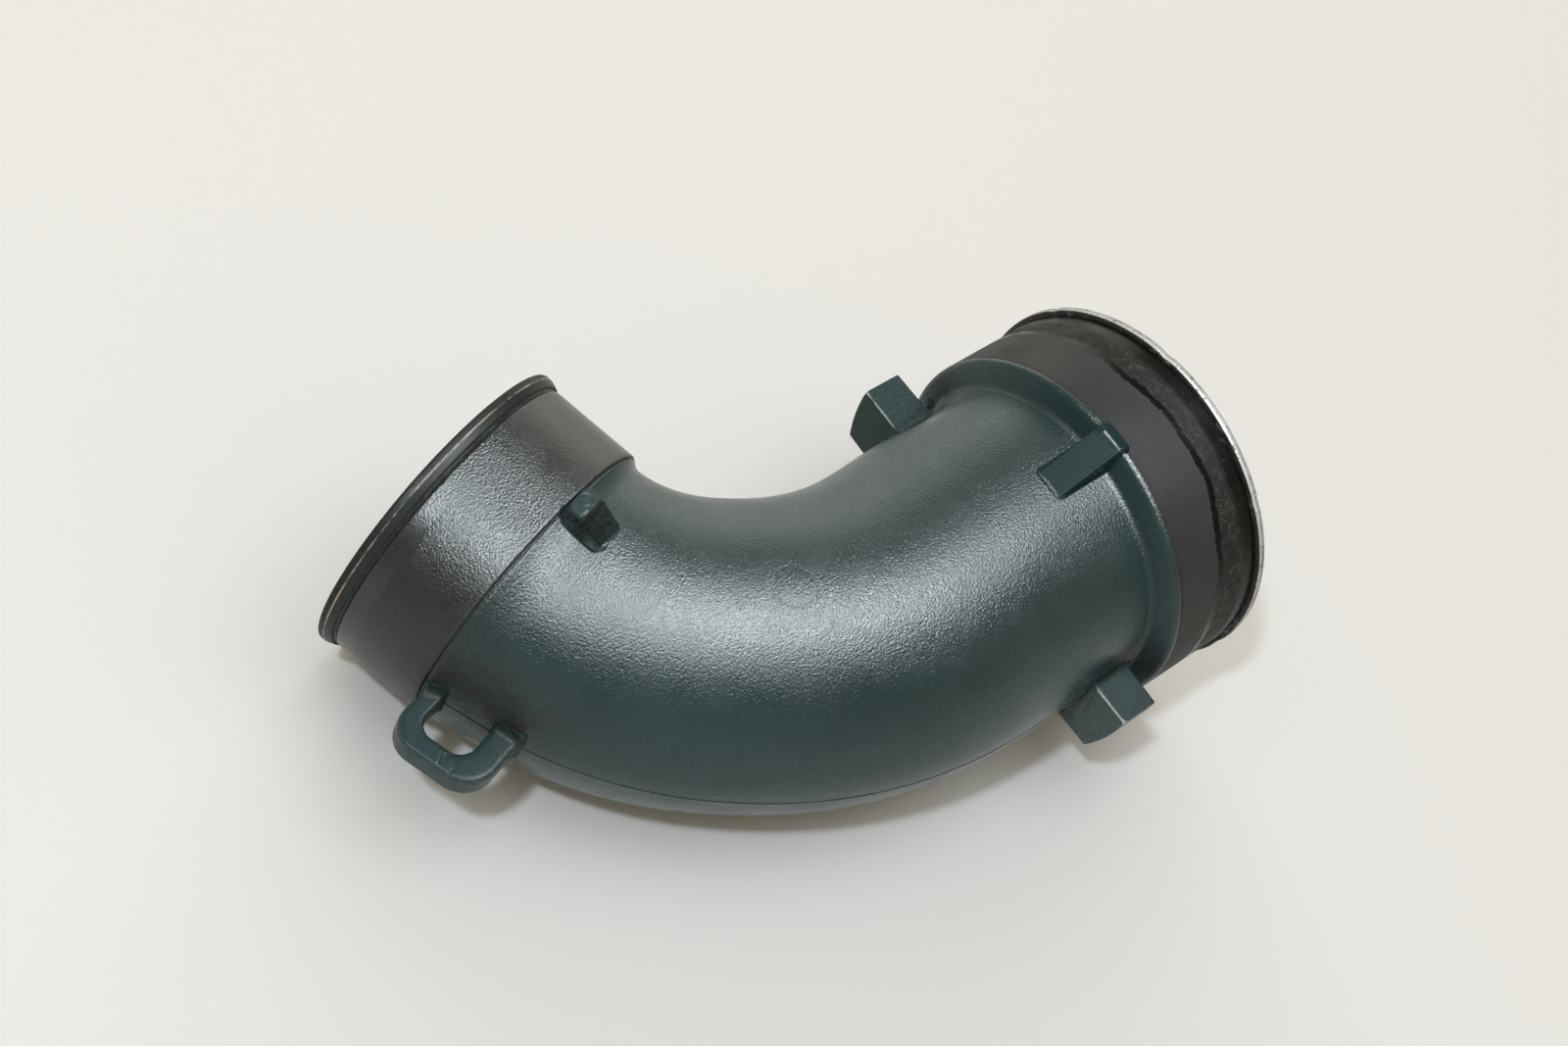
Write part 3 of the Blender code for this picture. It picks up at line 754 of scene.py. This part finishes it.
# %% Two paths of the loop
def arch(corners, radii, count):
    """A polyline whose corners are replaced by arcs: at each corner, points on the circle that
    touches both sides; then resampled evenly along the length."""
    corners = np.asarray(corners, float)
    track = [corners[:1]]
    t = np.linspace(0, 1, 16)[:, None]
    for here, before, after, radius in zip(corners[1:-1], corners[:-2], corners[2:], radii):
        a, b = ((end - here) / np.linalg.norm(end - here) for end in (before, after))
        half = np.arccos(a @ b) / 2
        centre = here + (a + b) / np.linalg.norm(a + b) * radius / np.sin(half)
        first, last = (here + side * radius / np.tan(half) - centre for side in (a, b))
        sweep = np.pi - 2 * half
        track.append(centre + (np.sin((1 - t) * sweep) * first + np.sin(t * sweep) * last) / np.sin(sweep))
    return resampled(np.concatenate(track + [corners[-1:]]), count)


def loop_point(into, out):
    """A point on the seam's level, so far past the small shoulder and so far out."""
    return SHOULDER + into[..., None] * SMALL_TRAVEL + out[..., None] * SMALL_OUT


def arm_root(into):
    """Where an arm ends when it is sunk 1.6 mm into the duct's wall."""
    tries = np.linspace(20, 45, 200) * MM
    return into, np.interp(-1.6 * MM, height_over(loop_point(np.full(200, into), tries)), tries)


outer_track = arch([arm_root(0.9 * MM), *mm((0.9, 52.3), (25.4, 49.6)), arm_root(24.4 * MM)],
                   mm(6.5, 8.0), 200)
hole_track = arch([arm_root(5.6 * MM), *mm((5.7, 46.6), (18.2, 45.2)), arm_root(17.8 * MM)],
                  mm(3.6, 4.6), 200)
print(f"the loop reaches {outer_track[:, 1].max() / MM:.1f} mm out from the duct's middle")

# %% Loop skin
SQUARE = 7.0
HALF_THICK, ROOT_FILLET = mm(3.6, 2.6)
LOOP_PIN = mm(-94.5, 5.4)


def squarer(wave):
    """A sine or cosine drawn towards plus and minus one, which makes a circle a rounded square."""
    return np.sign(wave) * np.abs(wave) ** (2 / SQUARE)


turn = np.linspace(0, 2 * np.pi, 97)[:-1]
wide, tall = squarer(np.cos(turn)), squarer(np.sin(turn))
middle_track, half_track = (outer_track + hole_track) / 2, (outer_track - hole_track) / 2
stand = np.clip(height_over(loop_point(*middle_track.T)) / ROOT_FILLET, 0, 1)
swelling = ROOT_FILLET * (1 - np.sqrt(np.maximum(1 - (1 - stand) ** 2, 0)))
stretch = 1 + 0.3 * swelling / np.linalg.norm(half_track, axis=1)
thick = HALF_THICK + 0.8 * swelling
flat_loop = middle_track[:, None, :] + (wide * stretch[:, None])[..., None] * half_track[:, None, :]
loop_grid = loop_point(flat_loop[..., 0], flat_loop[..., 1]) + (tall * thick[:, None])[..., None] * UP
from_pin = np.hypot(loop_grid[..., 0] - LOOP_PIN[0], loop_grid[..., 1] - LOOP_PIN[1])
loop_grid[..., 2] -= 0.06 * MM * bell(from_pin - 2.1 * MM, 0.25 * MM) * (tall > 0.6)

loop_size = loop_grid.shape[:2]
loop_points = np.concatenate([loop_grid.reshape(-1, 3), [loop_grid[0].mean(0), loop_grid[-1].mean(0)]])
# the dust on the bar's outer wall is partly real dust and partly a painted reflection of the table
loop_marks = {"rubbed": 0.0, "dirt": 0.9 * fading(height_over(loop_points), 3.0 * MM), "inside": 0.0,
              "dust": np.append(np.tile(0.6 * soft(wide, 0.6, 0.95), loop_size[0]), (0, 0))}
loop = make_skin("hanging_loop", loop_points, grid_faces(*loop_size, False), ("loop_lug",), loop_marks,
                 end_fans(*loop_size))

# %% [markdown]
# ## Finishes
# Every finish is a small tree of nodes that reads the piece's own place (Object coordinates) and
# the marks stored at its points: where it is rubbed, dirty, dusty, smooth, or inside the bore.
# Some of the rubbed, dirty and dusty marks also hold painted highlights, shade and light.
# Image textures would need an unwrapped piece; noise in three dimensions needs none. A finish
# starts from one colour, and each layer is laid over the last by a share from 0 to 1.

# %% Node helper
class Finish:
    """A new material, and short words for the nodes that feed its shader."""

    def __init__(self, name, colour):
        self.material = bpy.data.materials.new(name)
        self.material.use_nodes = True
        self.tree = self.material.node_tree
        self.place = self.add("ShaderNodeTexCoord").outputs["Object"]
        self.colour = (*colour, 1)

    def feed(self, node, inputs):
        """Set each named input of a node, or link it if a socket is given."""
        for key, value in inputs.items():
            socket = node.inputs[int(key[1:]) if key[0] == "_" else key.replace("_", " ")]
            if isinstance(value, bpy.types.NodeSocket):
                self.tree.links.new(value, socket)
            else:
                socket.default_value = value

    def add(self, kind, settings=(), **inputs):
        """A new node; settings are its properties, inputs are sockets to link or values to set."""
        node = self.tree.nodes.new(kind)
        for key, value in dict(settings).items():
            setattr(node, key, value)
        self.feed(node, inputs)
        return node

    def shade(self, **inputs):
        """Give the shader its colour and the other inputs that are named."""
        self.feed(self.tree.nodes["Principled BSDF"], {"Base_Color": self.colour, **inputs})
        return self.material

    def layer(self, share, colour):
        """Lay a colour over what is there: the mix goes from the old to the new."""
        mix = self.add("ShaderNodeMix", {"data_type": "RGBA"}, _0=share, _6=self.colour, _7=(*colour, 1))
        self.colour = mix.outputs[2]

    def mark(self, name):
        """A value stored at the points."""
        return self.add("ShaderNodeAttribute", {"attribute_name": name}).outputs["Fac"]

    def noise(self, scale, detail=3.0, rough=0.55):
        """A cloudy value from 0 to 1; the scale is how many clouds fit in a metre."""
        return self.add("ShaderNodeTexNoise", Vector=self.place, Scale=scale, Detail=detail,
                        Roughness=rough).outputs["Fac"]

    def between(self, value, low, high):
        """0 to 1 as the value goes from low to high, smoothly."""
        return self.add("ShaderNodeMapRange", {"interpolation_type": "SMOOTHSTEP"}, Value=value,
                        From_Min=low, From_Max=high).outputs["Result"]

    def uneven(self, scale, low, high):
        """A value that wanders from low to high with a noise."""
        return self.add("ShaderNodeMapRange", Value=self.noise(scale, 4.0), From_Min=0.3, From_Max=0.7,
                        To_Min=low, To_Max=high).outputs["Result"]

    def maths(self, how, first, second=0.0, clamp=True):
        """One sum of two values, kept between 0 and 1 if it is clamped."""
        settings = {"operation": how, "use_clamp": clamp}
        return self.add("ShaderNodeMath", settings, _0=first, _1=second).outputs[0]

    def times(self, first, second):
        return self.maths("MULTIPLY", first, second)

    def plus(self, first, second):
        return self.maths("ADD", first, second)

    def minus(self, first, second):
        return self.maths("SUBTRACT", first, second, clamp=False)

    def weighed(self, first, share, second, rest):
        """first * share + second * rest."""
        return self.plus(self.times(first, share), self.times(second, rest))

    def bump(self, height, distance, strength=1.0):
        """Normals that tilt as if the surface rose by height times distance."""
        node = self.add("ShaderNodeBump", Strength=strength, Distance=distance, Height=height)
        return node.outputs["Normal"]


BORE_GREY = (0.085, 0.08, 0.072)
print("layers of a finish end with the bore's grey", BORE_GREY)

# %% [markdown]
# ## Paint over a rough casting
# The paint is thin, so the sandy skin of the casting shows through as fine pebbles, about half a
# millimetre across, and light breaks up on them. Two noises make the pebbles as a bump, because
# as geometry they would need millions of faces. Colour drifts a little, specks of brown sit in
# it, dust and a painted reflection of the table grey the belly, edges are rubbed to pale metal,
# with a painted highlight on the step's corner, and roots are dark. Painted shade darkens the
# wedge's slopes and the valley by the inner stop, and painted light lightens some lug faces.

# %% Painted finishes
PEBBLES = 1900.0


def painted(name, deep, pale, rough, pebble_height, worn, specular=0.5, tint=(1.0, 1.0, 1.0)):
    """From the paint up: a drift from deep to pale, brown specks, dust, dirt in ragged patches,
    worn places and the bore. The dust mark also carries painted light and painted reflections, the
    dirt mark carries painted shade on the wedge and by the inner stop, and the rubbed mark a painted
    highlight at the step's corner. The bump is three parts coarse noise to one part fine, and the
    smooth mark takes off three quarters of it."""
    paint = Finish(name, deep)
    paint.layer(paint.between(paint.noise(38.0, 4.0), 0.35, 0.68), pale)
    speck = paint.between(paint.noise(620.0, 1.0), 0.735, 0.80)
    paint.layer(paint.times(speck, 0.6), (0.035, 0.026, 0.018))
    # the dust layer also carries painted light and a painted reflection of the table on some faces
    powder = paint.between(paint.noise(1500.0, 3.0, 0.6), 0.24, 0.72)
    paint.layer(paint.times(paint.mark("dust"), powder), (0.102, 0.130, 0.130))
    patch = paint.weighed(paint.noise(210.0, 4.0, 0.65), 0.5, paint.noise(900.0, 3.0, 0.65), 0.5)
    # the dirt layer also lays painted shade on the wedge's steep faces and in the valley by the inner stop
    filth = paint.times(paint.mark("dirt"), paint.between(patch, 0.34, 0.58))
    paint.layer(filth, (0.0095, 0.0088, 0.0078))
    # the rubbed layer also draws a painted highlight along the step's corner
    ragged = paint.plus(paint.mark("rubbed"), paint.minus(paint.noise(520.0, 3.0), 0.72))
    paint.layer(paint.between(ragged, 0.28, 0.62), worn)
    paint.layer(paint.mark("inside"), BORE_GREY)
    gloss = paint.plus(paint.uneven(95.0, rough - 0.05, rough + 0.07), paint.times(filth, 0.25))
    coarse, finer = paint.noise(PEBBLES, 2.0, 0.5), paint.noise(2.6 * PEBBLES, 2.0, 0.5)
    pebbles = paint.weighed(coarse, 0.75, finer, 0.25)
    calm = paint.minus(1.0, paint.times(paint.mark("smooth"), 0.75))
    return paint.shade(Roughness=gloss, IOR=1.46, Specular_IOR_Level=specular, Specular_Tint=(*tint, 1),
                       Normal=paint.bump(paint.times(pebbles, calm), pebble_height))


green_paint = painted("green_paint", (0.010, 0.034, 0.037), (0.016, 0.045, 0.047), 0.27, 0.00021,
                      (0.30, 0.35, 0.345))
charcoal_paint = painted("charcoal_paint", (0.006, 0.008, 0.008), (0.010, 0.0125, 0.0125), 0.28, 0.00019,
                         (0.34, 0.27, 0.19), 0.6, (0.95, 1.0, 1.0))
lug_paint = painted("lug_paint", (0.022, 0.047, 0.048), (0.031, 0.060, 0.061), 0.28, 0.00005,
                    (0.38, 0.42, 0.42), 0.08)
# a darker copy of the lug paint, as painted shade for the ramp's slope
ramp_shaded_paint = painted("ramp_shaded_paint", (0.011, 0.032, 0.034), (0.016, 0.041, 0.043), 0.28, 0.00005,
                     (0.38, 0.42, 0.42), 0.05)
bead_paint = painted("bead_paint", (0.016, 0.021, 0.021), (0.024, 0.030, 0.030), 0.40, 0.00004,
                     (0.36, 0.29, 0.21), 0.2)
for paint, pieces in ((green_paint, (bend,)), (charcoal_paint, (small_spigot,)), (ramp_shaded_paint, (ramp,)),
                      (lug_paint, (loop, wedge, outer_stop, inner_stop)), (bead_paint, (small_bead,))):
    for piece in pieces:
        piece.data.materials.append(paint)
    print(paint.name, "on", ", ".join(piece.name for piece in pieces))

# %% [markdown]
# ## The large spigot's matt black
# The large spigot was turned, so its charcoal is smoother, and years under a hose have left a wavy
# black line with a speckled brown-black band beyond it. The line could be a thin strip of mesh,
# but its edge is frayed, so the stored distance is shifted by noise and cut off on both sides.
# Streaks in the band come from a noise along that same distance, so they follow the line.

# %% Spigot finish
def hose_worn(name):
    """From the charcoal up: speckled band, streaks, clumps of pale dust, the black line where the
    frayed distance is near one half, and soot. Line and soot are glossier than the rest."""
    worn = Finish(name, (0.032, 0.033, 0.033))
    worn.layer(worn.between(worn.noise(55.0, 5.0), 0.35, 0.68), (0.046, 0.047, 0.045))
    speckle, band, line = worn.noise(420.0, 4.0, 0.7), worn.mark("band"), worn.mark("line")
    worn.layer(worn.times(band, worn.between(speckle, 0.30, 0.56)), (0.010, 0.0088, 0.0074))
    wander = worn.plus(line, worn.times(worn.noise(60.0, 2.0), 0.08))
    streak = worn.add("ShaderNodeTexNoise", {"noise_dimensions": "1D"}, W=wander, Scale=24.0, Detail=3.0)
    streak = worn.times(band, worn.between(streak.outputs["Fac"], 0.50, 0.60))
    worn.layer(worn.times(streak, 0.7), (0.005, 0.0045, 0.004))
    clump = worn.times(band, worn.between(worn.noise(120.0, 3.0), 0.40, 0.62))
    dust = worn.times(clump, worn.between(worn.noise(1500.0, 3.0, 0.7), 0.52, 0.68))
    worn.layer(worn.times(dust, 0.75), (0.12, 0.104, 0.082))
    fray = worn.times(worn.minus(worn.noise(620.0, 2.0, 0.6), 0.5), 0.36)
    off_line = worn.maths("ABSOLUTE", worn.minus(worn.minus(line, fray), 0.5), clamp=False)
    black_line = worn.between(off_line, 0.15, 0.09)
    worn.layer(black_line, (0.002, 0.002, 0.0018))
    soot = worn.times(worn.mark("soot"), worn.between(speckle, 0.22, 0.42))
    crease = worn.times(worn.mark("dirt"), worn.between(speckle, 0.25, 0.5))
    worn.layer(worn.plus(soot, crease), (0.006, 0.0054, 0.005))
    worn.layer(worn.mark("inside"), BORE_GREY)
    glossier = worn.times(worn.maths("MAXIMUM", soot, black_line), 0.36)
    grain = worn.plus(worn.times(worn.noise(900.0, 3.0), 0.7), worn.times(speckle, worn.times(band, 0.6)))
    return worn.shade(Roughness=worn.minus(worn.uneven(140.0, 0.56, 0.68), glossier),
                      Specular_IOR_Level=0.14, Normal=worn.bump(grain, 0.00009, 0.8))


large_spigot.data.materials.append(hose_worn("hose_worn_black"))
print("large spigot:", len(large_spigot.data.materials[0].node_tree.nodes), "nodes")

# %% [markdown]
# ## The bare rim
# The rim has lost its paint: it is dull aluminium with pits and stains, black with old rubber on
# the side that faces the hose. Full metal would only mirror the room, and this old skin is chalky
# with oxide, so it is partly metallic, and not at all where soot covers it.

# %% Rim finish
def pitted_metal(name):
    """From the metal up: stains, the rubbed corner, dark pits, soot and the bore. The bump is a
    rough skin with the pits sunk into it."""
    metal = Finish(name, (0.32, 0.315, 0.30))
    metal.layer(metal.between(metal.noise(130.0, 5.0, 0.65), 0.40, 0.70), (0.17, 0.155, 0.135))
    metal.layer(metal.mark("rubbed"), (0.52, 0.52, 0.51))
    pits = metal.between(metal.noise(900.0, 4.0, 0.65), 0.56, 0.64)
    metal.layer(pits, (0.09, 0.08, 0.07))
    soot = metal.times(metal.mark("dirt"), metal.between(metal.noise(260.0, 3.0), 0.2, 0.45))
    metal.layer(soot, (0.010, 0.009, 0.008))
    metal.layer(metal.mark("inside"), BORE_GREY)
    clean = metal.maths("SUBTRACT", 1.0, metal.plus(soot, metal.mark("inside")))
    rough_skin = metal.minus(metal.noise(700.0, 3.0), metal.times(pits, 0.5))
    return metal.shade(Metallic=metal.times(clean, 0.4), Roughness=metal.uneven(200.0, 0.50, 0.70),
                       Normal=metal.bump(rough_skin, 0.0002, 0.7))


large_rim.data.materials.append(pitted_metal("pitted_aluminium"))
print("large rim:", len(large_rim.data.materials[0].node_tree.nodes), "nodes")

# %% [markdown]
# ## Table
# A loose elbow lies on the belly of its bend and on the undersides of both spigots. The frame
# keeps the elbow level, so the table is tipped by ten degrees to touch those three places. It is
# pale and plain, a hair below the elbow, and its light comes back up under the duct.

# %% Table
TABLE_TILT, TABLE_TOWARDS = np.radians((10.212, 47.446))
TABLE_POINT = mm(70.3, -23.0, 1.6)
TABLE_HALF, TABLE_GAP = 4.0, 0.3 * MM
tipped = np.sin(TABLE_TILT) * np.array((np.cos(TABLE_TOWARDS), np.sin(TABLE_TOWARDS), 0.0))
table_up = tipped + np.cos(TABLE_TILT) * UP
side = np.cross((0.0, 1.0, 0.0), table_up)
side /= np.linalg.norm(side)
ahead = np.cross(table_up, side)
span = np.array(((-1, -1), (1, -1), (1, 1), (-1, 1))) * TABLE_HALF
corners = TABLE_POINT - TABLE_GAP * table_up + span[:, :1] * side + span[:, 1:] * ahead
table_mesh = bpy.data.meshes.new("table")
table_mesh.from_pydata(corners.tolist(), [], [(0, 1, 2, 3)])
table_finish = Finish("pale_table", (0.83, 0.82, 0.805)).shade(Roughness=0.8, Specular_IOR_Level=0.1)
table_mesh.materials.append(table_finish)
table = into_scene("table", table_mesh)
print("table", 2 * TABLE_HALF, "m wide, tipped", round(float(np.degrees(TABLE_TILT)), 1), "degrees")

# %% [markdown]
# ## Lamps
# Cool light falls from beside the camera and from overhead, and a warm lamp stands on the far
# side. One big lamp could do it all, but then the highlights on the paint would be as broad as
# that lamp. So the first two are seen by diffuse light alone, and three small strips, seen by
# gloss alone, make the highlights: one on the small spigot and two along the bend.

# %% Lamps
def soft_lamp(name, towards, distance, along, size, level, colour, seen_by="all"):
    """A rectangular lamp facing the elbow; level is the light it brings to a surface that faces
    it, where 1 shows a colour as it is written: watts = level * pi * pi * distance squared."""
    lamp_data = bpy.data.lights.new(name, "AREA")
    lamp_data.shape = "RECTANGLE"
    lamp_data.size, lamp_data.size_y = size
    lamp_data.energy = level * np.pi ** 2 * distance ** 2
    lamp_data.color = colour
    towards = np.array(towards, float) / np.linalg.norm(towards)
    along = np.array(along, float) - towards * np.dot(along, towards)
    along /= np.linalg.norm(along)
    lamp = into_scene(name, lamp_data)
    lamp.matrix_world = facing(50.0 * MM * UP + towards * distance, along, towards)
    lamp.visible_glossy = seen_by != "diffuse"
    lamp.visible_diffuse = seen_by != "gloss"
    print(f"{name}: {lamp_data.energy:.1f} W, seen by {seen_by}")


COOL, DAY, WARM = (0.82, 0.88, 1.0), (0.90, 0.95, 1.0), (1.0, 0.99, 0.95)
soft_lamp("by_the_camera", (-0.47, 0.03, 0.88), 1.6, (0.74, -0.60, 0.31), (0.1, 0.1), 0.36, COOL, "diffuse")
soft_lamp("overhead", (0.12, -0.06, 0.99), 1.5, (1.0, 0.08, 0.0), (1.3, 1.0), 0.31, COOL, "diffuse")
soft_lamp("far_side", (0.62, 0.76, 0.18), 1.6, (0.76, -0.62, 0.0), (2.4, 0.9), 0.50, WARM)
soft_lamp("near_strip", (-0.47, 0.0, 0.88), 1.4, (0.88, 0.0, 0.47), (0.34, 0.26), 1.15, DAY, "gloss")
soft_lamp("left_strip", (-0.04, -0.25, 0.97), 1.4, (0.50, -0.09, 0.0), (0.80, 0.32), 1.62, DAY, "gloss")
soft_lamp("right_strip", (0.31, -0.07, 0.945), 1.4, (0.25, 0.20, -0.08), (0.42, 0.28), 1.40, DAY, "gloss")

# %% [markdown]
# ## World
# The rest of the room is an even warm grey that fills the shadows. An image of a room would give
# finer reflections, but the paint is too rough to show them. The Standard view shows a colour as
# it is written.

# %% World
world = bpy.data.worlds.new("studio")
world.use_nodes = True
background = world.node_tree.nodes["Background"]
background.inputs["Color"].default_value = (0.44, 0.40, 0.30, 1)
background.inputs["Strength"].default_value = 1.0
bpy.context.scene.world = world
bpy.context.scene.view_settings.view_transform = "Standard"
print("world:", [round(value, 2) for value in background.inputs["Color"].default_value[:3]])
